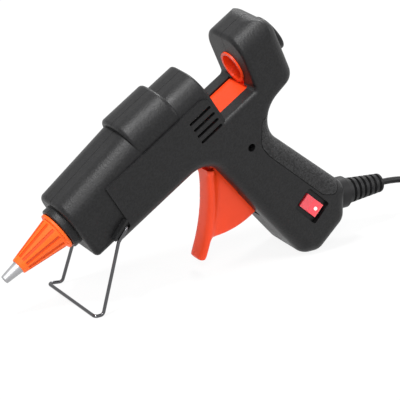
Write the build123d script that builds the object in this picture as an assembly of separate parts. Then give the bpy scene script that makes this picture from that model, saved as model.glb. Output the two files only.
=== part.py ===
from build123d import *
import math
import os

# Gun frame in mm: x runs rearward along the stick axis from the sleeve's flange, y to the right, z up.
# Row frame: the gun stands on its handle foot and wire stand, X rearward, Z up from the floor.
TILT = 33.0
FLOOR = 37.6
ORIGIN_X = -75.05
SEAM = 0.08
WALL = 2.0

BARREL_HALF = 15.0
FRAME_HALF = 16.0
CLEAR_OF = FRAME_HALF + 4.0
PIVOT = (78.0, -27.5)
STAND_PIVOT = (22.5, -12.6)
DRIVE_PIN = (78.0, -13.5)
SWITCH = (100.8, -79.3)
SWITCH_RAKE = -15.0
BOOT_Z = 21.2
SWITCH_Y = -FRAME_HALF + WALL
ROCKER_Y = SWITCH_Y + 2.5
TAG_Y = SWITCH_Y + 16.0
PIN_HALF = FRAME_HALF - 2.5
CORD_R = 1.6
CORD_FLOOR = 2.6
COIL_X = 220.7
COIL_IN = 12.8
COIL_PITCH = 4.15
COIL_LAYER = 4.2
COIL_TURNS = 1.875
COIL_LAYERS = 4
COIL_TAIL = 9.0
COIL_TOP = CORD_FLOOR + COIL_LAYER * (COIL_LAYERS - 1)

RIGHT_SCREWS = [(40.0, 12.8), (120.5, 12.5), (91.0, -97.5)]
LEFT_SCREWS = [(91.9, -29.5)]

TO_ROW = Pos(ORIGIN_X, 0, FLOOR) * Rot(0, -TILT, 0)
SHIFT = Pos(ORIGIN_X, 0, 0)
ROW = Rot(0, TILT, 0) * Pos(0, 0, -FLOOR)


def outline(points):
    """Closed face through (a, b, r) points with each corner rounded to its r."""
    face = make_face(Polyline(*[(p[0], p[1]) for p in points], close=True))
    for a, b, r in points:
        if r > 0:
            near = sorted(face.vertices(), key=lambda v: (v.X - a) ** 2 + (v.Y - b) ** 2)[0]
            face = fillet(near, r)
    return face


def side(face, y0, y1):
    """Face drawn in the gun's (x, z), made solid from y0 to y1."""
    return extrude(Plane(origin=(0, y1, 0), x_dir=(1, 0, 0), z_dir=(0, -1, 0)) * face, amount=y1 - y0)


def across(x, face):
    """Face drawn in (y, z), set at x."""
    return Plane(origin=(x, 0, 0), x_dir=(0, 1, 0), z_dir=(1, 0, 0)) * face


def spun(points):
    """Solid of revolution about the x axis from (x, radius, corner) points."""
    return revolve(Plane.XZ * outline(points), axis=Axis.X)


def tube(x0, x1, r_out, r_in):
    return spun([(x0, r_in, 0), (x1, r_in, 0), (x1, r_out, 0), (x0, r_out, 0)])


def rod(x0, x1, r):
    return Pos((x0 + x1) / 2, 0, 0) * Rot(0, 90, 0) * Cylinder(r, x1 - x0)


def peg(x, z, r, y0, y1):
    """Round bar along y at (x, z)."""
    return Pos(x, (y0 + y1) / 2, z) * Rot(90, 0, 0) * Cylinder(r, y1 - y0)


def block(x0, x1, y0, y1, z0, z1):
    return Pos((x0 + x1) / 2, (y0 + y1) / 2, (z0 + z1) / 2) * Box(x1 - x0, y1 - y0, z1 - z0)


def dee(half, top, bottom, r_top, r_bottom):
    """Barrel section in (y, z) with round shoulders."""
    return outline([
        (-half, bottom, r_bottom), (half, bottom, r_bottom), (half, top, r_top), (-half, top, r_top),
    ])


def loop_at(solid, x):
    return solid.edges().filter_by_position(Axis.X, x - 0.01, x + 0.01)


def long_body(points, half, r_top, r_bottom):
    """Straight-sided body from four (x, z) points, bottom two first, with its long edges rounded."""
    solid = side(make_face(Polyline(*points, close=True)), -half, half)
    lengthwise = [e for e in solid.edges() if e.bounding_box().size.X > 1.0]
    low = [e for e in lengthwise if (e @ 0.5).Z < 0]
    solid = fillet(low, r_bottom)
    high = [
        e
        for e in solid.edges()
        if e.bounding_box().size.X > 1.0 and (e @ 0.5).Z > 5 and abs((e @ 0.5).Y) > half - 0.1
    ]
    return fillet(high, r_top)


# Housing: outer body
barrel_front = long_body([(4.0, -16.6), (52.0, -16.6), (52.0, 19.0), (4.0, 14.2)], BARREL_HALF, 10.0, 3.0)
barrel_front = fillet(loop_at(barrel_front, 4.0), 2.4)
band = extrude(across(47.2, dee(BARREL_HALF, 22.4, -15.4, 11.5, 3)), 25.4)
band = fillet(loop_at(band, 47.2) + loop_at(band, 72.6), 1.8)
barrel_rear = extrude(across(68.0, dee(BARREL_HALF, 18.2, -15.4, 11, 3)), 21.3)
barrel_rear = fillet(loop_at(barrel_rear, 89.3), 1.2)
collar = fillet(loop_at(rod(0.3, 6.0, 10.85), 0.3), 0.6)

HUMP_TOP = 17.8
HUMP_FRONT = 113.5
SADDLE_END = 109.2
SADDLE = -8.4
FRAME = [
    (4.0, -20.0, 0),
    (73.0, -20.0, 13),
    (84.3, -99.6, 9),
    (92.5, -104.9, 7.5),
    (111.9, -101.2, 8),
    (121.6, -86.3, 7.5),
    (100.7, -22.8, 14),
    (129.0, -18.6, 7.5),
    (134.8, HUMP_TOP, 9),
    (HUMP_FRONT, HUMP_TOP, 0),
    (SADDLE_END, SADDLE, 2),
    (87.2, SADDLE, 0),
    (87.2, 9.2, 4),
    (4.0, 9.2, 0),
]
frame_face = outline(FRAME)
EDGE_OFF = outline([
    (-5, -60, 0),
    (16.4, -60, 0),
    (16.4, -17.0, 0),
    (24.6, -14.6, 1.5),
    (25.2, 9.2, 0),
    (25.2, 40, 0),
    (-5, 40, 0),
])


def rounded_loops(solid, half, radius):
    """Round the handle's and hump's long side edges, and leave the panel, saddle and hump front sharp."""
    picked = []
    for edge in solid.edges():
        box = edge.bounding_box()
        if abs(abs(box.min.Y) - half) > 0.01 or box.size.Y > 0.01:
            continue
        mid = edge @ 0.5
        on_panel = mid.Z > -16.5 and mid.X < 114.2
        if not on_panel:
            picked.append(edge)
    return fillet(picked, radius)


def hump_round(half, top, radius):
    """What is cut away to round the hump over its top."""
    return block(100, 145, -30, 30, -6, 40) - extrude(across(99, dee(half, top, -40, radius, 0)), 48)


def on_hump_front(p):
    """True on the hump's sloping front, above the saddle."""
    run = (p.X - SADDLE_END) * (HUMP_TOP - SADDLE) - (p.Z - SADDLE) * (HUMP_FRONT - SADDLE_END)
    return abs(run) < 0.5 and p.Z > -5.0


def frame_body(face, half, radius):
    solid = side(face, -half, half)
    return rounded_loops(solid, half, radius)


frame = frame_body(frame_face, FRAME_HALF, 6.5)
frame = frame - hump_round(FRAME_HALF, HUMP_TOP, 11.0)
hump_front = [e for e in frame.edges() if on_hump_front(e @ 0.5) and on_hump_front(e @ 0.1)]
frame = fillet(hump_front, 2.4) - side(EDGE_OFF, -CLEAR_OF, CLEAR_OF)
outer = barrel_front + band + barrel_rear + collar + frame

# Housing: the hollow inside it
inner_front = long_body(
    [(6.4, -13.6), (52.0, -13.6), (52.0, 17.0), (6.4, 12.2)], BARREL_HALF - WALL, 8.5, 1.5,
)
inner_band = extrude(across(49.6, dee(BARREL_HALF - WALL, 20.4, -13.4, 10, 1.5)), 21.0)
inner_rear = extrude(across(68.0, dee(BARREL_HALF - WALL, 16.0, -13.4, 10, 1.5)), 19.3)
inner_face = offset(frame_face, amount=-WALL)
inner_frame = side(inner_face, -FRAME_HALF + WALL, FRAME_HALF - WALL)
inner_frame = inner_frame - hump_round(FRAME_HALF - WALL, HUMP_TOP - WALL, 9.0)
inner_frame = inner_frame - side(Pos(2.2, 2.2) * EDGE_OFF, -CLEAR_OF, CLEAR_OF)
cavity = inner_front + inner_band + inner_rear + inner_frame


def within(solid):
    """Keep what lies in the hollow, with a little bite into the wall."""
    return solid & outer


BITE = FRAME_HALF - 0.5
body = outer - cavity
ribs = within(block(47.8, 49.8, -FRAME_HALF, FRAME_HALF, -14.5, 20)) - rod(40, 60, 8.45)
ribs += within(block(53.2, 55.3, -FRAME_HALF, FRAME_HALF, -14.5, 21)) - rod(50, 60, 9.35)
ribs = ribs - block(40, 60, 8.0, 12.5, -13.3, -6) - block(40, 60, -12.5, -8.0, -13.3, -6)
body += ribs
body += within(block(62, 87.2, 10.5, BITE, -12.5, -10.5) + block(62, 87.2, -BITE, -10.5, -12.5, -10.5))
body += within(peg(PIVOT[0], PIVOT[1], 3.4, -BITE, -7.9) + peg(PIVOT[0], PIVOT[1], 3.4, 7.9, BITE))
for x, z in RIGHT_SCREWS + LEFT_SCREWS:
    body += within(peg(x, z, 2.9, -BITE, BITE))
stop_rib = outline([(14.2, -13.1, 0.5), (24.4, -9.6, 0.5), (24.4, -11.1, 0.5), (14.2, -14.6, 0.5)])
STOP = FRAME_HALF + 1.6
body += (
    side(Pos(0, 0.35) * stop_rib, -STOP, -FRAME_HALF + WALL)
    + side(Pos(0, 0.35) * stop_rib, FRAME_HALF - WALL, STOP)
)

# Housing: openings
guide_mouth = dee(8.0, 9.5, -13.0, 7.9, 0)
body -= rod(-2, 7, 9.0)
body -= extrude(across(85.0, guide_mouth), 6.0)
body -= block(86.9, 112.5, -8.0, 8.0, -12.9, -8.0)
body -= rod(104, 142, 7.95)
body -= block(104, 115, -5.2, 5.2, -12.9, -6.0)
VENT_IN = BARREL_HALF - WALL - 0.5
for z in (3.55, -0.5, -4.3, -8.1):
    slot = SlotOverall(13.0, 1.5)
    body -= side(Pos(80.0, z) * slot, -CLEAR_OF, -VENT_IN) + side(Pos(80.0, z) * slot, VENT_IN, CLEAR_OF)
body -= block(66.5, 90, -3.9, 3.9, -71.5, -15.2)
body -= block(66.5, 90, -6.1, 6.1, -52.0, -15.2)
switch_place = Pos(SWITCH[0], 0, SWITCH[1]) * Rot(0, SWITCH_RAKE, 0)
body -= switch_place * fillet(
    block(-6.0, 6.0, -CLEAR_OF, SWITCH_Y + 1.0, -7.9, 7.9).edges().filter_by(Axis.Y), 1.0,
)
body -= peg(PIVOT[0], PIVOT[1], 1.55, -PIN_HALF - 0.1, PIN_HALF + 0.1)
body -= peg(PIVOT[0], PIVOT[1], 3.5, 5.0, 7.9)
body -= peg(STAND_PIVOT[0], STAND_PIVOT[1], 0.87, -CLEAR_OF, CLEAR_OF)
for x, z in RIGHT_SCREWS:
    body -= peg(x, z, 1.95, 6.0, CLEAR_OF) + peg(x, z, 1.35, 0, 7) + peg(x, z, 1.3, -8.5, 0)
for x, z in LEFT_SCREWS:
    body -= peg(x, z, 1.95, -CLEAR_OF, -6.0) + peg(x, z, 1.35, -7, 0) + peg(x, z, 1.3, 0, 8.5)

# Grip strap: soft inlay over the handle's back
GRIP = [
    (112.5, -24.0, 0),
    (103.2, -22.6, 3),
    (96.2, -33.0, 7),
    (96.9, -40.0, 10),
    (108.6, -79.0, 4),
    (113.5, -84.0, 3),
    (123.0, -79.0, 0),
    (140.0, -60.0, 0),
    (140.0, -40.0, 0),
]
grip_face = outline(GRIP)
core = frame_body(offset(frame_face, amount=-1.2), FRAME_HALF - 1.2, 5.3)
grip_skin = frame - core
grip_strap = grip_skin & side(grip_face, -CLEAR_OF, CLEAR_OF)
body -= (grip_skin & side(offset(grip_face, amount=0.3), -CLEAR_OF, CLEAR_OF))

# Cord boot, in row axes: axis level, straight out of the handle's heel
BOOT = [
    (144.2, 1.75, 0),
    (179.0, 1.75, 0),
    (179.0, 4.6, 0.8),
    (165.0, 5.8, 0),
    (158.0, 6.5, 0),
    (157.2, 7.8, 0.6),
    (146.6, 7.8, 0),
    (146.6, 8.4, 0),
    (144.2, 8.4, 0),
]
boot = spun(BOOT)
for x in (160.0, 163.2, 166.4, 169.6, 172.8, 176.0):
    boot -= tube(x, x + 1.5, 9.0, 3.6)
boot = Pos(0, 0, BOOT_Z) * boot
boot_hole = Pos(0, 0, BOOT_Z) * (rod(146.4, 190, 7.95) + rod(144.0, 146.75, 8.55))
pedestal = block(138.5, 143.5, 1.7, FRAME_HALF, BOOT_Z - 8.2, BOOT_Z + 8.2)
body += within(ROW * pedestal)
body -= ROW * boot_hole
for dz in (-5.6, 5.6):
    body -= ROW * peg(141.0, BOOT_Z + dz, 0.95, 0, 10)

everything = 400
left_shell = body - block(-50, everything, -SEAM, 100, -200, 100)
right_shell = body - block(-50, everything, -100, SEAM, -200, 100)

# Nozzle and its sleeve
nozzle = spun([
    (-33.2, 0.9, 0),
    (9.0, 0.9, 0),
    (9.0, 4.0, 0.4),
    (0.5, 4.0, 0),
    (0.5, 5.4, 0),
    (-2.0, 5.4, 0),
    (-24.6, 2.95, 0),
    (-33.2, 2.05, 0.5),
])
SLEEVE_BORE = [(-24.4, 3.12, 0), (-2.0, 5.55, 0), (0.0, 5.55, 0)]
sleeve = spun(SLEEVE_BORE + [(0.0, 9.6, 0.5), (-1.5, 9.6, 0.5), (-1.5, 8.1, 0), (-24.4, 3.9, 0.5)])
groove_line = Plane.XZ * make_face(
    Polyline((-21.5, 4.05), (-2.6, 7.45), (-2.6, 9.0), (-21.5, 6.0), close=True)
)
groove = extrude(groove_line, amount=0.75, both=True)
for k in range(12):
    sleeve -= Rot(k * 30.0 + 15.0, 0, 0) * groove

# Front bush, melt chamber, heater, seal
front_bush = spun([
    (0.6, 5.75, 0),
    (8.5, 5.75, 0),
    (8.5, 10.5, 0.5),
    (6.5, 10.5, 0),
    (6.5, 8.9, 0),
    (0.6, 8.9, 0.5),
])
chamber = rod(0.5, 13, 5.6) + rod(12, 51, 8.3) + rod(50, 53, 10.0) + rod(52, 60, 7.6)
chamber += block(20, 46, -7, 7, -13.2, -3)
chamber -= rod(0, 16, 4.08) + rod(14, 62, 5.7)
chamber -= block(19, 47, -5.6, 5.6, -12.0, -8.8)
ptc_heater = block(21, 45, -5.4, 5.4, -10.6, -8.8)
ptc_heater += block(45, 47.2, 3.0, 4.2, -10.0, -9.4) + block(45, 47.2, -4.2, -3.0, -10.0, -9.4)
wedge_face = outline([(20.5, -12.0, 0), (45.5, -12.0, 0), (45.5, -10.6, 0), (20.5, -10.6, 0)])
heater_wedge = side(wedge_face, -5.2, 5.2)
stick_seal = spun([
    (53.0, 7.65, 0),
    (60.4, 7.65, 0),
    (60.4, 6.4, 0.8),
    (64.5, 5.75, 0),
    (66.0, 6.1, 0),
    (66.0, 7.6, 0.6),
    (62.0, 9.2, 1.0),
    (53.0, 9.2, 0),
])
seal_clip = tube(56.4, 58.4, 10.0, 9.2)
seal_clip -= block(56, 59, -1.0, 1.0, 8, 12)
seal_clip += block(56.4, 58.4, 1.0, 1.8, 9.4, 12.2) + block(56.4, 58.4, -1.8, -1.0, 9.4, 12.2)

# Feed carriage with its jaw and drive pin
carriage = rod(76, 84, 9.2) + block(73, 85, -12.4, 12.4, -10.3, -8.0) + block(76, 84, -7, 7, -8.5, 0)
carriage += block(74.8, 81.2, 3.7, 6.3, -16.6, -9) + block(74.8, 81.2, -6.3, -3.7, -16.6, -9)
carriage -= rod(70, 90, 6.1) + block(77.85, 82.15, -3.65, 3.65, 4, 12)
carriage -= peg(DRIVE_PIN[0], DRIVE_PIN[1], 1.25, -7, 7)
grip_jaw = block(77.9, 82.1, -3.6, 3.6, 5.95, 11.4)
for x in (78.4, 79.8, 81.2):
    grip_jaw -= Pos(x, 0, 5.8) * Rot(0, 45, 0) * Box(0.7, 10, 0.7)
carriage_pin = peg(DRIVE_PIN[0], DRIVE_PIN[1], 1.25, -6.3, 6.3)

# Trigger: finger blade, web that runs into the handle, and the fork that drives the carriage
blade_face = make_face([
    ThreePointArc((71.0, -29.8), (59.2, -49.5), (42.6, -65.6)),
    Line((42.6, -65.6), (46.0, -68.6)),
    ThreePointArc((46.0, -68.6), (62.7, -52.0), (74.2, -32.3)),
    Line((74.2, -32.3), (71.0, -29.8)),
])
blade = side(blade_face, -5.5, 5.5)
long_edges = [e for e in blade.edges() if e.length > 30]
blade = fillet(long_edges, 0.9)
web_face = make_face(Polyline(
    (78.0, -27.5), (72.6, -31.2), (61.2, -50.8), (45.2, -66.9),
    (56.0, -78.0), (84.0, -78.0), (82.6, -45.0), (81.0, -30.0),
    close=True,
)) & (Pos(*PIVOT) * Circle(41.7))
trigger = blade + side(web_face, -3.5, 3.5) + peg(PIVOT[0], PIVOT[1], 5.0, -3.5, 3.5)
arm_face = outline([(74.4, -26.0, 0), (81.6, -26.0, 0), (81.6, -11.4, 1.0), (74.4, -11.4, 1.0)])
trigger += side(arm_face, -3.3, 3.3)
trigger -= block(76.45, 79.55, -5, 5, -17.0, -9)
trigger -= peg(PIVOT[0], PIVOT[1], 1.55, -6, 6)
trigger_pin = peg(PIVOT[0], PIVOT[1], 1.5, -PIN_HALF, PIN_HALF)

# Return spring: torsion coil round the trigger's pin, one leg on the web and one reaching rearward
spring_coil = Helix(pitch=0.95, height=2.85, radius=2.55)
spring = sweep(Plane(origin=spring_coil @ 0, z_dir=spring_coil % 0) * Circle(0.4), path=spring_coil)
spring = Pos(PIVOT[0], 7.2, PIVOT[1]) * Rot(90, 0, 0) * spring
upright = (Align.CENTER, Align.CENTER, Align.MIN)
leg_low = Pos(PIVOT[0] + 2.55, 7.15, PIVOT[1] - 0.3) * Cylinder(0.45, 11, align=upright)
leg_web = Pos(PIVOT[0] + 2.55, 4.4, PIVOT[1] - 10) * Cylinder(0.45, 10.3, align=upright)
return_spring = spring + leg_low + leg_web

# Stick guide: bulkhead at the barrel's rear, floor of the saddle and tunnel through the hump
guide = extrude(across(86.6, dee(7.85, 9.35, -11.4, 7.75, 0)), 3.4)
guide += extrude(across(85.4, dee(9.4, 10.9, -12.4, 9.0, 0)), 1.8)
guide += block(86.0, 114.0, -7.85, 7.85, -11.4, -9.4)
guide += block(86.0, 112.0, -10.0, 10.0, -12.4, -10.5)
tunnel = tube(100, 126.0, 7.8, 6.4)
tunnel -= side(outline([(90, -30, 0), (104.9, -30, 0), (113.3, 21.0, 0), (90, 21.0, 0)]), -20, 20)
guide += tunnel + (block(110.2, 114.0, -5.0, 5.0, -11.4, -6.5) - rod(100, 130, 6.4))
guide -= rod(80, 100, 6.3)
inlet = spun([(124.0, 7.0, 0), (135.0, 7.0, 0.8), (135.0, 9.4, 1.0), (124.0, 9.4, 0)]) - frame
inlet += spun([(126.1, 7.0, 0), (134.0, 7.0, 0), (134.0, 7.85, 0), (126.1, 7.85, 0)])

# Switch
SWITCH_BACK = SWITCH_Y + 10.3
housing = block(-7.25, 7.25, SWITCH_Y, SWITCH_Y + 1.3, -9.25, 9.25)
housing += block(-5.2, 5.2, SWITCH_Y + 1.2, SWITCH_BACK, -7.5, 7.5)
housing -= block(-3.7, 3.7, SWITCH_Y - 1, SWITCH_Y + 6.5, -5.9, 5.9)
housing = switch_place * housing
rocker_face = make_face(Polyline(
    (-5.3, -2.2), (0.0, -1.2), (5.3, -2.2), (5.3, 1.0), (2.4, 5.4), (-2.4, 5.4), (-5.3, 1.0), close=True,
))
rocker_plane = Plane(origin=(3.5, SWITCH_Y, 0), x_dir=(0, 0, 1), z_dir=(-1, 0, 0))
rocker = extrude(rocker_plane * rocker_face, amount=7.0)
rocker_tilt = switch_place * Pos(0, ROCKER_Y, 0) * Rot(-8.0, 0, 0) * Pos(0, -ROCKER_Y, 0)
dot_bar = peg(0.0, -3.1, 0.9, SWITCH_Y - 4, SWITCH_Y - 1.3)
rocker_dot = rocker_tilt * (rocker & dot_bar)
rocker = rocker_tilt * (rocker - dot_bar)
terminals = block(-0.4, 0.4, SWITCH_BACK, TAG_Y, 2.0, 6.8) + block(-0.4, 0.4, SWITCH_BACK, TAG_Y, -6.8, -2.0)
terminals = switch_place * terminals

# Housing screws, one node for all four
screw = Cylinder(1.2, 12.8, align=(Align.CENTER, Align.CENTER, Align.MAX))
screw += Cylinder(1.75, 1.8, align=(Align.CENTER, Align.CENTER, Align.MIN))
screw -= Pos(0, 0, 1.3) * (Box(2.2, 0.5, 1.2) + Box(0.5, 2.2, 1.2))
housing_screws = [Pos(x, 6.0, z) * Rot(-90, 0, 0) * screw for x, z in RIGHT_SCREWS]
housing_screws += [Pos(x, -6.0, z) * Rot(90, 0, 0) * screw for x, z in LEFT_SCREWS]

# Cord clamp in the handle's heel
clamp = block(138.5, 143.5, -3.6, -1.7, BOOT_Z - 8.2, BOOT_Z + 8.2)
clamp_screws = []
for dz in (-5.6, 5.6):
    clamp -= peg(141.0, BOOT_Z + dz, 1.1, -5, 0)
    bar = Cylinder(0.92, 11.0, align=(Align.CENTER, Align.CENTER, Align.MAX))
    bar += Cylinder(1.7, 1.4, align=(Align.CENTER, Align.CENTER, Align.MIN))
    clamp_screws.append(Pos(141.0, -3.6, BOOT_Z + dz) * Rot(90, 0, 0) * bar)


def row(x, z):
    """Row (X, Z) of a gun (x, z), before the origin shift."""
    c = math.cos(math.radians(TILT))
    s = math.sin(math.radians(TILT))
    return x * c - z * s, x * s + z * c + FLOOR


def piped(path, section):
    return sweep(Plane(origin=path @ 0, z_dir=path % 0) * section, path=path)


# Wire stand, in row axes
pivot_row = row(*STAND_PIVOT)
knee_row = row(15.3, -15.3)
LEG_Y = FRAME_HALF + 1.5
LEG_END = FRAME_HALF - 2.6
STAND = [
    (pivot_row[0], -LEG_END, pivot_row[1]),
    (pivot_row[0], -LEG_Y, pivot_row[1]),
    (knee_row[0], -LEG_Y, knee_row[1]),
    (11.0, -20.2, 0.8),
    (6.8, -20.2, 0.8),
    (5.8, 22.2, 0.8),
    (12.2, 20.4, 0.8),
    (knee_row[0], LEG_Y, knee_row[1]),
    (pivot_row[0], LEG_Y, pivot_row[1]),
    (pivot_row[0], LEG_END, pivot_row[1]),
]
stand_path = FilletPolyline(*STAND, radius=[1.6, 2.5, 2.0, 1.6, 1.6, 2.0, 2.5, 1.6])
wire_stand = piped(stand_path, Circle(0.8))

# Cord, in row axes
CORD = [
    (136.0, 0, BOOT_Z),
    (164.0, 0, BOOT_Z),
    (190.5, 0, BOOT_Z),
    (207.5, 0, COIL_TOP),
    (COIL_X - 2 * CORD_R, 0, COIL_TOP),
]
CORD_BENDS = [45.0, 26.0]
cord_path = FilletPolyline(CORD[0], *CORD[2:], radius=CORD_BENDS)
cord = piped(cord_path, Circle(CORD_R))
by_length = cord_path.length * math.pi * CORD_R ** 2
print("cord bends", CORD_BENDS, "volume", round(cord.volume, 1), "by length", round(by_length, 1))

# Put-away coil in four layers: spirals in on top, drops a layer in half a turn, out again, and so on
COIL_OUT = COIL_IN + COIL_PITCH * COIL_TURNS
LAYER_TURN = 2 * math.pi * COIL_TURNS
PASS = LAYER_TURN + math.pi


def coil_point(t):
    layer = min(COIL_LAYERS - 1, int(t / PASS + 1e-9))
    s = t - layer * PASS
    share = min(1.0, s / LAYER_TURN)
    if layer % 2 == 0:
        share = 1 - share
    r = COIL_IN + (COIL_OUT - COIL_IN) * share
    u = min(1.0, max(0.0, (s - LAYER_TURN) / math.pi))
    z = COIL_TOP - COIL_LAYER * (layer + u * u * (3 - 2 * u))
    a = math.pi / 2 - t
    return Vector(COIL_X + r * math.cos(a), -COIL_OUT + r * math.sin(a), z)


def coil_heading(t, first, last):
    if first:
        return Vector(1, 0, 0)
    if last:
        return Vector(1, 0, 0)
    return (coil_point(t + 0.001) - coil_point(t - 0.001)).normalized()


def arc_mid(p, q, m):
    """Middle of the arc from p to m whose end tangents meet at q."""
    half = (p + m) * 0.5
    c = (m - p).length / 2 / (q - p).length
    return half + (q - half) * (c / (1 + c))


def biarc(p0, t0, p1, t1):
    v = p1 - p0
    b = -2 * v.dot(t0 + t1)
    a = 2 * (1 - t0.dot(t1))
    c = v.dot(v)
    d = (b + math.sqrt(b * b + 4 * a * c)) / (2 * a)
    q0 = p0 + t0 * d
    q1 = p1 - t1 * d
    m = (q0 + q1) * 0.5
    return [ThreePointArc(p0, arc_mid(p0, q0, m), m), ThreePointArc(m, arc_mid(p1, q1, m), p1)]


sixths = round(6 * (COIL_LAYERS * COIL_TURNS + (COIL_LAYERS - 1) / 2))
coil_nodes = []
for k in range(sixths + 1):
    t = k * math.pi / 3
    coil_nodes.append((coil_point(t), coil_heading(t, k == 0, k == sixths)))
lead = Vector(2 * CORD_R, 0, 0)
coil_edges = [Line(coil_nodes[0][0] - lead, coil_nodes[0][0])]
for (p0, t0), (p1, t1) in zip(coil_nodes, coil_nodes[1:]):
    coil_edges += biarc(p0, t0, p1, t1)
tail = Vector(COIL_TAIL, 0, 0)
coil_edges.append(Line(coil_nodes[-1][0], coil_nodes[-1][0] + tail))
coil_path = Wire(coil_edges)
cord_coil = piped(coil_path, RegularPolygon(CORD_R, 8))
spots = [coil_point(k * 0.02) for k in range(int(sixths * math.pi / 3 / 0.02))]
apart = min(
    (spots[i] - spots[j]).length for i in range(0, len(spots), 4) for j in range(i + 200, len(spots), 2)
)
print("coil gap", round(apart - 2 * CORD_R, 2), "length", round(coil_path.length, 1))
print("coil volume", round(cord_coil.volume, 1))

TIE_IN = -COIL_OUT - COIL_OUT - CORD_R - 0.9
TIE_OUT = -COIL_OUT - COIL_IN + CORD_R + 0.9
TIE_TOP = COIL_TOP + CORD_R + 0.9
tie_face = outline([(TIE_IN, 0.1, 1.2), (TIE_OUT, 0.1, 1.2), (TIE_OUT, TIE_TOP, 1.2), (TIE_IN, TIE_TOP, 1.2)])
tie_hole = [(TIE_IN + 0.8, 0.9, 0.5), (TIE_OUT - 0.8, 0.9, 0.5), (TIE_OUT - 0.8, TIE_TOP - 0.8, 0.5)]
tie_face -= outline(tie_hole + [(TIE_IN + 0.8, TIE_TOP - 0.8, 0.5)])
cord_tie = extrude(across(COIL_X, tie_face), amount=2.0, both=True)

# Plug, two round pins
PLUG_X = COIL_X + COIL_TAIL
PLUG_HALF = 17.3
PLUG_FRONT = PLUG_X + 37.0
PIN_Z = 6.5
plug_face = outline([
    (PLUG_X, -2.9, 0.8),
    (PLUG_X, 2.9, 0.8),
    (PLUG_X + 11, 5.0, 4.0),
    (PLUG_X + 22, PLUG_HALF, 6.0),
    (PLUG_FRONT, PLUG_HALF, 1.5),
    (PLUG_FRONT, -PLUG_HALF, 1.5),
    (PLUG_X + 22, -PLUG_HALF, 6.0),
    (PLUG_X + 11, -5.0, 4.0),
])
plug_side = outline([
    (PLUG_X - 1, 0.1, 0),
    (PLUG_FRONT + 1, 0.1, 0),
    (PLUG_FRONT + 1, 12.9, 0),
    (PLUG_X + 20, 12.9, 6.0),
    (PLUG_X + 8, 4.9, 6.0),
    (PLUG_X - 1, 4.9, 0),
])
plug_body = extrude(plug_face, amount=20) & side(plug_side, -30, 30)
plug_pins = []
for dy in (-9.5, 9.5):
    root = Pos(PLUG_FRONT - 3.5, dy, PIN_Z) * Rot(0, 90, 0) * Cylinder(1.5, 9.0)
    pin = Pos(PLUG_FRONT + 10.0, dy, PIN_Z) * Rot(0, 90, 0) * Cylinder(2.0, 18.0)
    plug_body -= root
    plug_pins.append(fillet(loop_at(pin, PLUG_FRONT + 19), 0.8) + root)


# Inner wiring, in gun axes: cord to switch, switch to heater up the right side, neutral up the left side
def wire(points, bends):
    return piped(FilletPolyline(*points, radius=bends), Circle(0.7))


wire_live = wire(
    [(104.2, 0.85, -87.2), (102.9, 3.4, -86.0), (101.94, TAG_Y + 2.8, -83.55), (101.94, TAG_Y, -83.55)],
    [1.5, 1.2],
)
wire_switched = wire(
    [
        (99.66, TAG_Y, -75.05),
        (99.66, 8.6, -75.05),
        (102.4, 8.6, -50.0),
        (96.8, 8.6, -27.0),
        (90.0, 8.6, -15.2),
        (60.0, 8.6, -14.6),
        (56.0, 10.7, -10.0),
        (46.9, 10.7, -10.0),
        (46.9, 4.2, -9.7),
    ],
    [3.0, 20.0, 12.0, 5.0, 5.0, 4.0, 2.0],
)
wire_neutral = wire(
    [
        (104.2, -0.85, -87.2),
        (106.0, 5.6, -78.0),
        (104.6, 5.0, -58.0),
        (99.6, -8.6, -38.0),
        (96.4, -8.6, -26.0),
        (90.0, -8.6, -15.2),
        (60.0, -8.6, -14.6),
        (56.0, -10.7, -10.0),
        (46.9, -10.7, -10.0),
        (46.9, -4.2, -9.7),
    ],
    [6.0, 10.0, 8.0, 8.0, 5.0, 5.0, 4.0, 2.0],
)

GUN = {
    "left_shell": left_shell,
    "right_shell": right_shell,
    "nozzle": nozzle,
    "nozzle_sleeve": sleeve,
    "front_bush": front_bush,
    "melt_chamber": chamber,
    "ptc_heater": ptc_heater,
    "heater_wedge": heater_wedge,
    "stick_seal": stick_seal,
    "seal_clip": seal_clip,
    "feed_carriage": carriage,
    "grip_jaw": grip_jaw,
    "carriage_pin": carriage_pin,
    "trigger": trigger,
    "trigger_pin": trigger_pin,
    "return_spring": return_spring,
    "stick_guide": guide,
    "inlet_collar": inlet,
    "grip_strap": grip_strap,
    "switch_housing": housing,
    "rocker": rocker,
    "rocker_dot": rocker_dot,
    "switch_terminals": terminals,
    "housing_screw": Compound(children=housing_screws),
    "wire_live": wire_live,
    "wire_switched": wire_switched,
    "wire_neutral": wire_neutral,
}
LEVEL = {
    "strain_relief": boot,
    "cord_clamp": clamp,
    "clamp_screw": Compound(children=clamp_screws),
    "wire_stand": wire_stand,
    "cord": cord,
    "cord_coil": cord_coil,
    "cord_tie": cord_tie,
    "plug_body": plug_body,
    "plug_pin": Compound(children=plug_pins),
}

os.makedirs("parts", exist_ok=True)
for place, pieces in ((TO_ROW, GUN), (SHIFT, LEVEL)):
    for node, shape in pieces.items():
        placed = place * shape
        export_step(placed, f"parts/{node}.step")
        box = placed.bounding_box()
        print(node, len(placed.solids()), [round(v, 2) for v in (*box.min, *box.max)])
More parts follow.
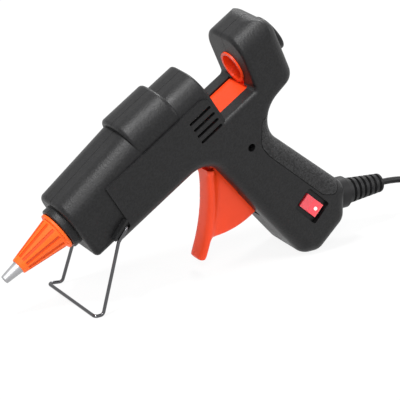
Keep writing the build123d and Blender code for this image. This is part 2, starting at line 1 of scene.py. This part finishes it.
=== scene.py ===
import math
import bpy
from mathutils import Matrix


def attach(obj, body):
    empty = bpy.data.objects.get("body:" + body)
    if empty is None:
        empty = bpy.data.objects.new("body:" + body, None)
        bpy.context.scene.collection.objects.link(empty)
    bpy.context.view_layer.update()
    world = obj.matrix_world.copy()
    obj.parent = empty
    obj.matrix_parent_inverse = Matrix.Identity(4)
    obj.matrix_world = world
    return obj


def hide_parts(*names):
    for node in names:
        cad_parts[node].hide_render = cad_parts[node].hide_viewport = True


bl_info = {
    "name": "Hot-melt glue gun",
    "version": (1, 0, 0),
    "blender": (4, 5, 0),
    "location": "View3D > Sidebar > Glue gun",
    "description": "Dresses the glue gun's pieces, lays its cord and sets up a studio view",
    "category": "Object",
}

import bpy
from mathutils import Vector

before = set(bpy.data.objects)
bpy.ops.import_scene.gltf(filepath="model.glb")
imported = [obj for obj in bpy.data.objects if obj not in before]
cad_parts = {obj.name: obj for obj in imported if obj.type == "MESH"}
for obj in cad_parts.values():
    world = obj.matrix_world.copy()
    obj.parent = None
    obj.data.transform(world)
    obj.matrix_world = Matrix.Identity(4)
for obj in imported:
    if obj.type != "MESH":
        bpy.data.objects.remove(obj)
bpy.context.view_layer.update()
MM = 0.001

# The cord's route and its put-away coil in mm, x from the gun's flange point and z from the floor
FLANGE_X = -75.05
ROUTE = [
    (136.0, 0.0, 21.2),
    (164.0, 0.0, 21.2),
    (190.5, 0.0, 21.2),
    (207.5, 0.0, 15.2),
    (217.5, 0.0, 15.2),
]
COIL_X = 220.7
COIL_IN = 12.8
COIL_PITCH = 4.15
COIL_LAYER = 4.2
COIL_LAYERS = 4
COIL_TURNS = 1.875
COIL_TAIL = 9.0
POINTS_PER_TURN = 16

# How finely the cord is drawn round and along, and the order of its curve
CORD_ROUND = 4
CORD_ALONG = 6
CORD_ORDER = 3

# How far the barrel leans up from level, and its flange point
LEAN = math.radians(33.0)
ALONG_BARREL = (0.0, -LEAN, 0.0)
FLANGE = (FLANGE_X * MM, 0.0, 37.6 * MM)

# The sleeve's flutes: their spacing, where a side and the two ends fade out, and the painted shade down in
# them: its strength and its darker orange
FLUTE_STEP = math.radians(30.0)
FLUTE_SIDE = (0.45 * MM, 0.93 * MM)
FLUTE_START = (-21.8 * MM, -20.8 * MM)
FLUTE_STOP = (-3.2 * MM, -2.4 * MM)
FLUTE_SHADE_SHARE = 0.85
FLUTE_PAINTED_SHADE = (0.60, 0.055, 0.006)

# How the trigger's moulded edges are softened, and the height below which it stands out of the housing
MERGE = 0.002 * MM
SOFT_GRID = 0.4 * MM
SOFT_PULL = 0.5
SOFT_PASSES = 220
TRIGGER_SHOWN = 49.0 * MM

# Refraction and shine of the plastics and rubbers
HARD_IOR = 1.47
SOFT_IOR = 1.45
LENS_IOR = 1.5
DULL_SHINE = 0.26
SATIN_SHINE = 0.3
GRIP_SHINE = 0.36

# Colours of the pieces that the sidebar doesn't list
TIP_METAL = (0.42, 0.42, 0.43)
CAST_METAL = (0.60, 0.60, 0.62)
CERAMIC = (0.72, 0.68, 0.60)
SILICONE = (0.62, 0.58, 0.52)
# Painted reflection: the chrome stand wire is darkened to stand in for dark surroundings mirrored in it
WIRE_PAINTED_DARK = (0.11, 0.11, 0.115)
BRIGHT_STEEL = (0.58, 0.58, 0.60)
SCREW_STEEL = (0.62, 0.62, 0.63)
PLATED = (0.70, 0.69, 0.66)
BRASS = (0.70, 0.50, 0.20)
NATURAL_PLASTIC = (0.62, 0.60, 0.55)
MARK_WHITE = (0.82, 0.82, 0.80)
BROWN_WIRE = (0.16, 0.06, 0.02)
BLUE_WIRE = (0.02, 0.06, 0.30)

# The turned tip's grain: drawn out round the barrel, close along it
TIP_GRAIN = (0.7, 40.0, 40.0)

# The studio: light from all round, the floor, and the lamps by name, place, size and power
WHITE = (1.0, 1.0, 1.0, 1.0)
AMBIENT = 0.22
FLOOR_PALE = (0.9, 0.9, 0.9, 1.0)
FLOOR_ROUGH = 0.9
FLOOR_GLOW = 0.9
LAMP_AIM = Vector((0.0, 0.0, 0.06))
LAMPS = [
    ("key_softbox", (-0.55, -0.75, 0.85), 0.4, 5.5),
    ("top_softbox", (-0.42, -0.14, 1.05), 0.2, 11.0),
    ("side_softbox", (0.8, -0.5, 0.5), 0.4, 2.5),
    ("rim_softbox", (0.45, 0.55, 0.85), 0.25, 7.0),
]

# The view: level angle and height of the camera, its distance, and how wide the picture is there
VIEW_TURN = math.radians(32.0)
VIEW_RISE = math.radians(23.0)
VIEW_DISTANCE = 1.0
VIEW_WIDTH = 0.1864
VIEW_TARGET = Vector((0.0, 0.0, 0.0352))
SENSOR = 36.0


class Value:
    """A shader socket that takes part in Python arithmetic by adding Math nodes."""

    def __init__(self, graph, socket):
        self.graph = graph
        self.socket = socket

    def _math(self, operation, first, second):
        made = self.graph.node("ShaderNodeMath", {"operation": operation}, {0: first, 1: second})
        return Value(self.graph, made.outputs[0])

    def __add__(self, other):
        return self._math("ADD", self, other)

    __radd__ = __add__

    def __sub__(self, other):
        return self._math("SUBTRACT", self, other)

    def __rsub__(self, other):
        return self._math("SUBTRACT", other, self)

    def __mul__(self, other):
        return self._math("MULTIPLY", self, other)

    __rmul__ = __mul__

    def __pow__(self, other):
        return self._math("POWER", self, other)

    def __mod__(self, other):
        return self._math("FLOORED_MODULO", self, other)

    def __abs__(self):
        return self._math("ABSOLUTE", self, 0.0)

    def larger(self, other):
        """The larger of this value and other."""
        return self._math("MAXIMUM", self, other)

    def angle_with(self, other):
        """Angle of the point whose coordinates are this value and other."""
        return self._math("ARCTAN2", self, other)


class Graph:
    """The nodes of a material or of the world."""

    def __init__(self, tree):
        self.tree = tree

    def feed(self, target, value):
        """Links a value or socket to the target socket, or sets a plain number or colour on it."""
        if isinstance(value, Value):
            value = value.socket
        if isinstance(value, bpy.types.NodeSocket):
            self.tree.links.new(value, target)
        else:
            target.default_value = value

    def node(self, kind, settings=None, inputs=None):
        """Adds a node: first its settings, then what its sockets take."""
        made = self.tree.nodes.new(kind)
        for name, value in (settings or {}).items():
            setattr(made, name, value)
        for key, value in (inputs or {}).items():
            self.feed(made.inputs[key], value)
        return made

    def seen(self):
        """1 for what the camera sees, straight or in metal and glass, and 0 for light on the gun."""
        rays = self.node("ShaderNodeLightPath").outputs
        share = Value(self, rays["Is Camera Ray"])
        for name in ("Is Glossy Ray", "Is Transmission Ray"):
            share = share.larger(Value(self, rays[name]))
        return share


class Finish(Graph):
    """One material: plain values are set on its shader, and the methods add what varies."""

    def __init__(self, name, **plain):
        self.material = bpy.data.materials.new(name)
        self.material.use_nodes = True
        super().__init__(self.material.node_tree)
        self.shader = self.tree.nodes["Principled BSDF"]
        for socket, value in plain.items():
            self.feed(self.shader.inputs[socket.replace("_", " ")], value)
        self.place = None

    def where(self, turn=(0, 0, 0), stretch=(1, 1, 1), centre=(0, 0, 0)):
        """Object coordinates in a turned frame about centre, stretched along that frame's axes."""
        if self.place is None:
            self.place = self.node("ShaderNodeTexCoord").outputs["Object"]
        inputs = {"Vector": self.place, "Location": centre, "Rotation": turn, "Scale": stretch}
        return self.node("ShaderNodeMapping", {"vector_type": "TEXTURE"}, inputs).outputs["Vector"]

    def axes(self, vector):
        """The three coordinates of a vector."""
        made = self.node("ShaderNodeSeparateXYZ", {}, {"Vector": vector})
        return [Value(self, socket) for socket in made.outputs]

    def noise(self, scale, detail=2.0, rough=0.5, turn=(0, 0, 0), stretch=(1, 1, 1)):
        """Noise with about this many features to the metre."""
        inputs = {"Vector": self.where(turn, stretch), "Scale": scale, "Detail": detail, "Roughness": rough}
        return Value(self, self.node("ShaderNodeTexNoise", {}, inputs).outputs["Fac"])

    def ramp(self, value, low, high):
        """0 below low, 1 above high, smooth between."""
        inputs = {"Value": value, "From Min": low, "From Max": high}
        made = self.node("ShaderNodeMapRange", {"interpolation_type": "SMOOTHSTEP"}, inputs)
        return Value(self, made.outputs["Result"])

    def blend(self, share, first, second):
        """Colour between first and second by share."""
        made = self.node("ShaderNodeMix", {"data_type": "RGBA"}, {"Factor": share})
        for name, colour in (("A", first), ("B", second)):
            socket = next(s for s in made.inputs if s.name == name and s.type == "RGBA")
            linked = isinstance(colour, bpy.types.NodeSocket)
            self.feed(socket, colour if linked else (*colour, 1.0))
        return next(s for s in made.outputs if s.type == "RGBA")

    def vary(self, colour=None, roughness=None):
        """Links a colour and a roughness that change over the surface."""
        for name, value in (("Base Color", colour), ("Roughness", roughness)):
            if value is not None:
                self.feed(self.shader.inputs[name], value)

    def relief(self, height, depth):
        """Bumps as deep as depth where height goes from 0 to 1."""
        made = self.node("ShaderNodeBump", {}, {"Height": height, "Distance": depth, "Strength": 1.0})
        self.feed(self.shader.inputs["Normal"], made.outputs["Normal"])


def scaled(colour, share):
    """The colour, darker or lighter by share."""
    return tuple(c * share for c in colour)


def dress(finish, *nodes):
    """Gives CAD nodes this finish."""
    for node in nodes:
        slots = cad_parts[node].data.materials
        slots.clear()
        slots.append(finish.material)


def softened_copy(node, name, body, below):
    """A copy of a CAD node that stands for it, with soft mould edges on what lies below a height."""
    piece = bpy.data.objects.new(name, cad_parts[node].data.copy())
    bpy.context.scene.collection.objects.link(piece)
    bpy.ops.object.select_all(action="DESELECT")
    piece.select_set(True)
    bpy.context.view_layer.objects.active = piece
    bpy.ops.mesh.customdata_custom_splitnormals_clear()
    bpy.ops.object.mode_set(mode="EDIT")
    bpy.ops.mesh.select_all(action="SELECT")
    bpy.ops.mesh.remove_doubles(threshold=MERGE)
    bpy.ops.object.mode_set(mode="OBJECT")
    even = piece.modifiers.new("even", "REMESH")
    even.mode = "VOXEL"
    even.voxel_size = SOFT_GRID
    even.use_smooth_shade = True
    bpy.ops.object.modifier_apply(modifier=even.name)
    shown = piece.vertex_groups.new(name="shown")
    shown.add([vert.index for vert in piece.data.vertices if vert.co.z < below], 1.0, "REPLACE")
    ease = piece.modifiers.new("ease", "SMOOTH")
    ease.factor = SOFT_PULL
    ease.iterations = SOFT_PASSES
    ease.vertex_group = shown.name
    bpy.ops.object.modifier_apply(modifier=ease.name)
    # What is hidden in the housing goes back onto the CAD surface, clear of its neighbours
    seat = piece.modifiers.new("seat", "SHRINKWRAP")
    seat.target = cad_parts[node]
    seat.wrap_method = "NEAREST_SURFACEPOINT"
    seat.vertex_group = shown.name
    seat.invert_vertex_group = True
    bpy.ops.object.modifier_apply(modifier=seat.name)
    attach(piece, body)
    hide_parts(node)


def moulded(name, colour, rough=0.42, grain=1100.0, depth=0.14 * MM, mottle=0.45):
    """Spark-textured moulded plastic with faint flow marks and a few rubbed places."""
    finish = Finish(name, IOR=HARD_IOR, Specular_IOR_Level=DULL_SHINE)
    speck = finish.noise(grain, detail=3.0, rough=0.6)
    cloud = finish.noise(60.0, detail=3.0, rough=0.55)
    rubbed = finish.ramp(finish.noise(34.0, detail=3.0, rough=0.6), 0.56, 0.74)
    shade = cloud * 0.3 + finish.ramp(speck, 0.3, 0.7) * 0.7
    finish.vary(
        colour=finish.blend(shade, scaled(colour, 1 - mottle), scaled(colour, 1 + mottle)),
        roughness=cloud * 0.08 + speck * 0.14 - rubbed * 0.07 + (rough - 0.10),
    )
    finish.relief(speck, depth)
    return finish


def fluted_with_painted_shade(name, colour):
    """The sleeve's plastic, with painted shade darkening it to a deeper orange down in its flutes."""
    finish = moulded(name, colour, rough=0.46, grain=900.0, depth=0.04 * MM, mottle=0.08)
    along, across, up = finish.axes(finish.where(ALONG_BARREL, centre=FLANGE))
    radius = (across * across + up * up) ** 0.5
    aside = abs(across.angle_with(up) % FLUTE_STEP - FLUTE_STEP / 2) * radius
    inside = 1 - finish.ramp(aside, *FLUTE_SIDE)
    ends = finish.ramp(along, *FLUTE_START) - finish.ramp(along, *FLUTE_STOP)
    plain = finish.shader.inputs["Base Color"].links[0].from_socket
    # Painted shade: a darker orange down in the flutes, fading out at their sides and ends
    finish.vary(colour=finish.blend(inside * ends * FLUTE_SHADE_SHARE, plain, FLUTE_PAINTED_SHADE))
    return finish


def satin_moulded(name, colour):
    """Satin coloured plastic: smooth, with slow colour drift, fine scratches and a faint orange-peel skin."""
    finish = Finish(name, IOR=SOFT_IOR, Specular_IOR_Level=SATIN_SHINE)
    drift = finish.noise(45.0)
    peel = finish.noise(700.0)
    scratch = finish.noise(420.0, rough=0.6, stretch=(6.0, 1.0, 1.0))
    finish.vary(
        colour=finish.blend(drift, scaled(colour, 0.86), scaled(colour, 1.08)),
        roughness=scratch * 0.16 + 0.26,
    )
    finish.relief(scratch * 0.4 + peel, 0.02 * MM)
    return finish


def metal(name, colour, rough, grain=900.0, stretch=(1, 1, 1), turn=(0, 0, 0), depth=0.01 * MM):
    """Bare metal with a brushed or turned grain."""
    finish = Finish(name, Metallic=1.0)
    brushed = finish.noise(grain, detail=3.0, rough=0.6, turn=turn, stretch=stretch)
    stain = finish.noise(90.0, detail=3.0, rough=0.6)
    finish.vary(
        colour=finish.blend(stain, scaled(colour, 0.86), scaled(colour, 1.06)),
        roughness=brushed * 0.16 + stain * 0.08 + (rough - 0.10),
    )
    finish.relief(brushed, depth)
    return finish


def soft(name, colour, rough, grain=2000.0):
    """Rubber, silicone or ceramic: matt, slightly dusty."""
    finish = Finish(name, IOR=SOFT_IOR, Specular_IOR_Level=DULL_SHINE)
    dust = finish.noise(140.0, detail=4.0, rough=0.65)
    fine = finish.noise(grain)
    finish.vary(
        colour=finish.blend(finish.ramp(dust, 0.45, 0.8) * 0.5, colour, scaled(colour, 1.7)),
        roughness=dust * 0.14 + fine * 0.08 + (rough - 0.11),
    )
    finish.relief(fine, 0.02 * MM)
    return finish


def pebbled(name, colour):
    """Grip skin with a leather-like pebble grain, shinier on the tops of the pebbles, with a painted
    highlight lightening the pebble tops and painted shade darkening the hollows between them.
    """
    finish = Finish(name, IOR=HARD_IOR, Specular_IOR_Level=GRIP_SHINE)
    pebble = finish.noise(800.0)
    top = finish.ramp(pebble, 0.36, 0.62)
    worn = finish.ramp(finish.noise(40.0, detail=3.0, rough=0.6), 0.5, 0.75)
    # Painted highlight on the pebble tops and painted shade in the hollows between them
    finish.vary(
        colour=finish.blend(top, scaled(colour, 0.45), scaled(colour, 1.6)),
        roughness=0.5 - top * 0.12 - worn * 0.06,
    )
    finish.relief(top, 0.22 * MM)
    return finish


def lens(name, colour):
    """Clear-coated tinted plastic that lets a little light in."""
    finish = Finish(name, IOR=LENS_IOR, Coat_Weight=0.5, Coat_Roughness=0.06, Subsurface_Weight=0.15)
    tint = finish.noise(260.0)
    finish.vary(
        colour=finish.blend(tint, scaled(colour, 0.85), scaled(colour, 1.12)),
        roughness=tint * 0.10 + 0.16,
    )
    return finish


def colour_prop(name, text, default):
    """A colour in the sidebar."""
    return bpy.props.FloatVectorProperty(
        name=name, description=text, subtype="COLOR", size=3, min=0.0, max=1.0, default=default,
    )


class GlueGunColours(bpy.types.PropertyGroup):
    """Colours of the gun's finishes"""

    housing: colour_prop("Housing", "Moulded shells and switch surround", (0.010, 0.010, 0.0105))
    orange: colour_prop("Trigger orange", "Trigger and stick channel", (0.94, 0.062, 0.010))
    sleeve: colour_prop("Sleeve orange", "Heat sleeve on the nozzle", (0.90, 0.125, 0.012))
    rocker: colour_prop("Rocker", "Lit rocker of the switch", (0.88, 0.05, 0.075))
    jacket: colour_prop("Cord", "Cord, boot and plug", (0.012, 0.012, 0.0125))


class GlueGunSizes(bpy.types.PropertyGroup):
    """Sizes that Blender adds to the gun"""

    cord: bpy.props.FloatProperty(
        name="Cord", description="Diameter of the cord", default=3.2 * MM, min=0.001, unit="LENGTH",
    )
    floor: bpy.props.FloatProperty(
        name="Floor", description="Width of the floor", default=8.0, min=1.0, unit="LENGTH",
    )


class GLUEGUN_OT_housing(bpy.types.Operator):
    """Finish the shells and the black fittings in them"""

    bl_idname = "gluegun.housing"
    bl_label = "Housing"

    def execute(self, context):
        colours = context.scene.glue_gun_colours
        dress(moulded("housing_plastic", colours.housing), "left_shell", "right_shell", "inlet_collar")
        dress(moulded("switch_surround", scaled(colours.housing, 0.7), rough=0.34), "switch_housing")
        return {"FINISHED"}


class GLUEGUN_OT_orange(bpy.types.Operator):
    """Finish the trigger, the stick channel and the nozzle's heat sleeve"""

    bl_idname = "gluegun.orange"
    bl_label = "Orange pieces"

    def execute(self, context):
        colours = context.scene.glue_gun_colours
        dress(satin_moulded("trigger_orange", colours.orange), "trigger", "stick_guide")
        softened_copy("trigger", "finger_trigger", "trigger", TRIGGER_SHOWN)
        dress(fluted_with_painted_shade("sleeve_orange", colours.sleeve), "nozzle_sleeve")
        return {"FINISHED"}


class GLUEGUN_OT_hot_end(bpy.types.Operator):
    """Finish the nozzle, melt chamber, heater and seals"""

    bl_idname = "gluegun.hot_end"
    bl_label = "Hot end"

    def execute(self, context):
        turned = metal("turned_tip", TIP_METAL, 0.40, stretch=TIP_GRAIN, turn=ALONG_BARREL, depth=0.0004 * MM)
        dress(turned, "nozzle")
        dress(metal("cast_chamber", CAST_METAL, 0.5, grain=500.0, depth=0.06 * MM), "melt_chamber")
        dress(soft("heater_ceramic", CERAMIC, 0.7), "ptc_heater")
        dress(soft("silicone", SILICONE, 0.5), "front_bush", "stick_seal")
        return {"FINISHED"}


class GLUEGUN_OT_steelwork(bpy.types.Operator):
    """Finish the stand, pins, screws, clips and the feed carriage"""

    bl_idname = "gluegun.steelwork"
    bl_label = "Steel and feed"

    def execute(self, context):
        # Painted reflection: the chrome wire takes a dark colour in place of the dark surroundings it would
        # mirror
        wire = metal("drawn_wire", WIRE_PAINTED_DARK, 0.13, grain=700.0)
        dress(wire, "wire_stand", "return_spring", "seal_clip")
        bright = metal("bright_steel", BRIGHT_STEEL, 0.3)
        dress(bright, "trigger_pin", "carriage_pin", "grip_jaw", "heater_wedge")
        dress(metal("screw_steel", SCREW_STEEL, 0.26), "housing_screw", "clamp_screw")
        natural = moulded("natural_plastic", NATURAL_PLASTIC, rough=0.5, mottle=0.1)
        dress(natural, "feed_carriage", "cord_clamp")
        return {"FINISHED"}


class GLUEGUN_OT_switch(bpy.types.Operator):
    """Finish the rocker, its mark, the tags and the inner wires"""

    bl_idname = "gluegun.switch"
    bl_label = "Switch"

    def execute(self, context):
        colours = context.scene.glue_gun_colours
        dress(lens("rocker_lens", colours.rocker), "rocker")
        dress(moulded("printed_mark", MARK_WHITE, rough=0.5, mottle=0.06), "rocker_dot")
        dress(metal("brass_tag", BRASS, 0.35), "switch_terminals")
        dress(soft("live_wire", BROWN_WIRE, 0.45), "wire_live", "wire_switched")
        dress(soft("neutral_wire", BLUE_WIRE, 0.45), "wire_neutral")
        return {"FINISHED"}


class GLUEGUN_OT_grip(bpy.types.Operator):
    """Finish the grip strap and the cord's boot"""

    bl_idname = "gluegun.grip"
    bl_label = "Grip and boot"

    def execute(self, context):
        colours = context.scene.glue_gun_colours
        dress(pebbled("grip_rubber", colours.housing), "grip_strap")
        dress(soft("boot_rubber", colours.jacket, 0.5), "strain_relief")
        return {"FINISHED"}


def coil_points():
    """Points of the put-away coil: in on the top layer, down in half a turn, out again, to the floor."""
    outer = COIL_IN + COIL_PITCH * COIL_TURNS
    layer_turn = 2 * math.pi * COIL_TURNS
    layer_pass = layer_turn + math.pi
    whole = COIL_LAYERS * layer_pass - math.pi
    step = 2 * math.pi / POINTS_PER_TURN
    # The curve runs inside its control points, so they stand a little further out
    swell = 1 / (0.75 + 0.25 * math.cos(step))
    points = []
    for k in range(1, round(whole / step)):
        turned = k * step
        layer = min(COIL_LAYERS - 1, int(turned / layer_pass + 1e-9))
        on_layer = turned - layer * layer_pass
        share = min(1.0, on_layer / layer_turn)
        if layer % 2 == 0:
            share = 1 - share
        radius = (COIL_IN + (outer - COIL_IN) * share) * swell
        drop = min(1.0, max(0.0, on_layer - layer_turn) / math.pi)
        z = ROUTE[-1][2] - COIL_LAYER * (layer + drop * drop * (3 - 2 * drop))
        angle = math.pi / 2 - turned
        points.append((COIL_X + radius * math.cos(angle), -outer + radius * math.sin(angle), z))
    lowest = ROUTE[-1][2] - COIL_LAYER * (COIL_LAYERS - 1)
    for along in (0.0, COIL_TAIL / 2, COIL_TAIL):
        points.append((COIL_X + along, 0.0, lowest))
    return points


class GLUEGUN_OT_cord(bpy.types.Operator):
    """Lay the cord from the handle to the put-away coil, and finish its plug and tie"""

    bl_idname = "gluegun.cord"
    bl_label = "Cord"

    def execute(self, context):
        colours = context.scene.glue_gun_colours
        sizes = context.scene.glue_gun_sizes
        points = [Vector(((x + FLANGE_X) * MM, y * MM, z * MM)) for x, y, z in ROUTE + coil_points()]
        curve = bpy.data.curves.new("mains_cord", "CURVE")
        curve.dimensions = "3D"
        curve.bevel_depth = sizes.cord / 2
        curve.bevel_resolution = CORD_ROUND
        curve.resolution_u = CORD_ALONG
        curve.use_fill_caps = True
        spline = curve.splines.new("NURBS")
        spline.points.add(len(points) - 1)
        for spot, point in zip(spline.points, points):
            spot.co = (*point, 1.0)
        spline.order_u = CORD_ORDER
        spline.use_endpoint_u = True
        cord = bpy.data.objects.new("mains_cord", curve)
        context.scene.collection.objects.link(cord)
        jacket = soft("cord_jacket", colours.jacket, 0.42, grain=900.0)
        curve.materials.append(jacket.material)
        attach(cord, "gun")
        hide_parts("cord", "cord_coil")
        dress(moulded("plug_plastic", colours.jacket, rough=0.4), "plug_body")
        dress(moulded("tie_plastic", scaled(colours.jacket, 1.4), rough=0.38), "cord_tie")
        dress(metal("plated_pin", PLATED, 0.22), "plug_pin")
        dress(jacket, "cord", "cord_coil")
        return {"FINISHED"}


def pale_floor(width):
    """Floor that is white to the camera and keeps the gun's shadow."""
    bpy.ops.object.select_all(action="DESELECT")
    bpy.ops.mesh.primitive_plane_add(size=width, location=(0, 0, 0))
    floor = bpy.context.object
    floor.name = "studio_floor"
    paint = Finish("floor_paint", Base_Color=FLOOR_PALE, Roughness=FLOOR_ROUGH)
    glow = paint.node("ShaderNodeEmission", {}, {"Color": WHITE, "Strength": 1.0})
    mix = {0: paint.seen() * FLOOR_GLOW, 1: paint.shader.outputs[0], 2: glow.outputs[0]}
    mixed = paint.node("ShaderNodeMixShader", {}, mix)
    paint.feed(paint.tree.nodes["Material Output"].inputs["Surface"], mixed.outputs[0])
    floor.data.materials.append(paint.material)


def soft_surround(scene):
    """World that is white to the camera and lights the gun dimly from all round."""
    world = bpy.data.worlds.new("studio")
    scene.world = world
    world.use_nodes = True
    graph = Graph(world.node_tree)
    back = graph.tree.nodes["Background"]
    graph.feed(back.inputs["Color"], WHITE)
    graph.feed(back.inputs["Strength"], graph.seen() * (1 - AMBIENT) + AMBIENT)


def lamp(name, place, size, power):
    """Round soft lamp that looks at the gun."""
    data = bpy.data.lights.new(name, "AREA")
    data.shape = "DISK"
    data.size = size
    data.energy = power
    lamp_object = bpy.data.objects.new(name, data)
    bpy.context.scene.collection.objects.link(lamp_object)
    lamp_object.location = place
    lamp_object.rotation_euler = (LAMP_AIM - Vector(place)).to_track_quat("-Z", "Y").to_euler()


def photo_camera(scene):
    """Camera at the photograph's viewing angle."""
    data = bpy.data.cameras.new("photo_view")
    data.sensor_width = SENSOR
    data.lens = SENSOR * VIEW_DISTANCE / VIEW_WIDTH
    camera = bpy.data.objects.new("photo_view", data)
    scene.collection.objects.link(camera)
    level_run = math.cos(VIEW_RISE)
    toward = Vector((
        -math.sin(VIEW_TURN) * level_run, -math.cos(VIEW_TURN) * level_run, math.sin(VIEW_RISE),
    ))
    camera.location = VIEW_TARGET + toward * VIEW_DISTANCE
    camera.rotation_euler = (-toward).to_track_quat("-Z", "Y").to_euler()
    scene.camera = camera


class GLUEGUN_OT_stage(bpy.types.Operator):
    """Floor, soft studio light and the camera"""

    bl_idname = "gluegun.stage"
    bl_label = "Stage"

    def execute(self, context):
        scene = context.scene
        scene.view_settings.view_transform = "Standard"
        pale_floor(scene.glue_gun_sizes.floor)
        soft_surround(scene)
        for name, place, size, power in LAMPS:
            lamp(name, place, size, power)
        photo_camera(scene)
        return {"FINISHED"}


OPERATORS = (
    GLUEGUN_OT_housing,
    GLUEGUN_OT_orange,
    GLUEGUN_OT_hot_end,
    GLUEGUN_OT_steelwork,
    GLUEGUN_OT_switch,
    GLUEGUN_OT_grip,
    GLUEGUN_OT_cord,
    GLUEGUN_OT_stage,
)


class GLUEGUN_PT_sidebar(bpy.types.Panel):
    """Lists the gun's pieces"""

    bl_idname = "GLUEGUN_PT_sidebar"
    bl_label = "Glue gun"
    bl_space_type = "VIEW_3D"
    bl_region_type = "UI"
    bl_category = "Glue gun"

    def draw(self, context):
        for group in (context.scene.glue_gun_colours, context.scene.glue_gun_sizes):
            for name in group.__annotations__:
                self.layout.prop(group, name)
        for operator in OPERATORS:
            self.layout.operator(operator.bl_idname)


CLASSES = (GlueGunColours, GlueGunSizes, *OPERATORS, GLUEGUN_PT_sidebar)


def register():
    for cls in CLASSES:
        bpy.utils.register_class(cls)
    bpy.types.Scene.glue_gun_colours = bpy.props.PointerProperty(type=GlueGunColours)
    bpy.types.Scene.glue_gun_sizes = bpy.props.PointerProperty(type=GlueGunSizes)


def unregister():
    del bpy.types.Scene.glue_gun_sizes
    del bpy.types.Scene.glue_gun_colours
    for cls in reversed(CLASSES):
        bpy.utils.unregister_class(cls)


def main():
    register()
    bpy.ops.gluegun.housing()
    bpy.ops.gluegun.orange()
    bpy.ops.gluegun.hot_end()
    bpy.ops.gluegun.steelwork()
    bpy.ops.gluegun.switch()
    bpy.ops.gluegun.grip()
    bpy.ops.gluegun.cord()
    bpy.ops.gluegun.stage()


if __name__ == "__main__":
    main()
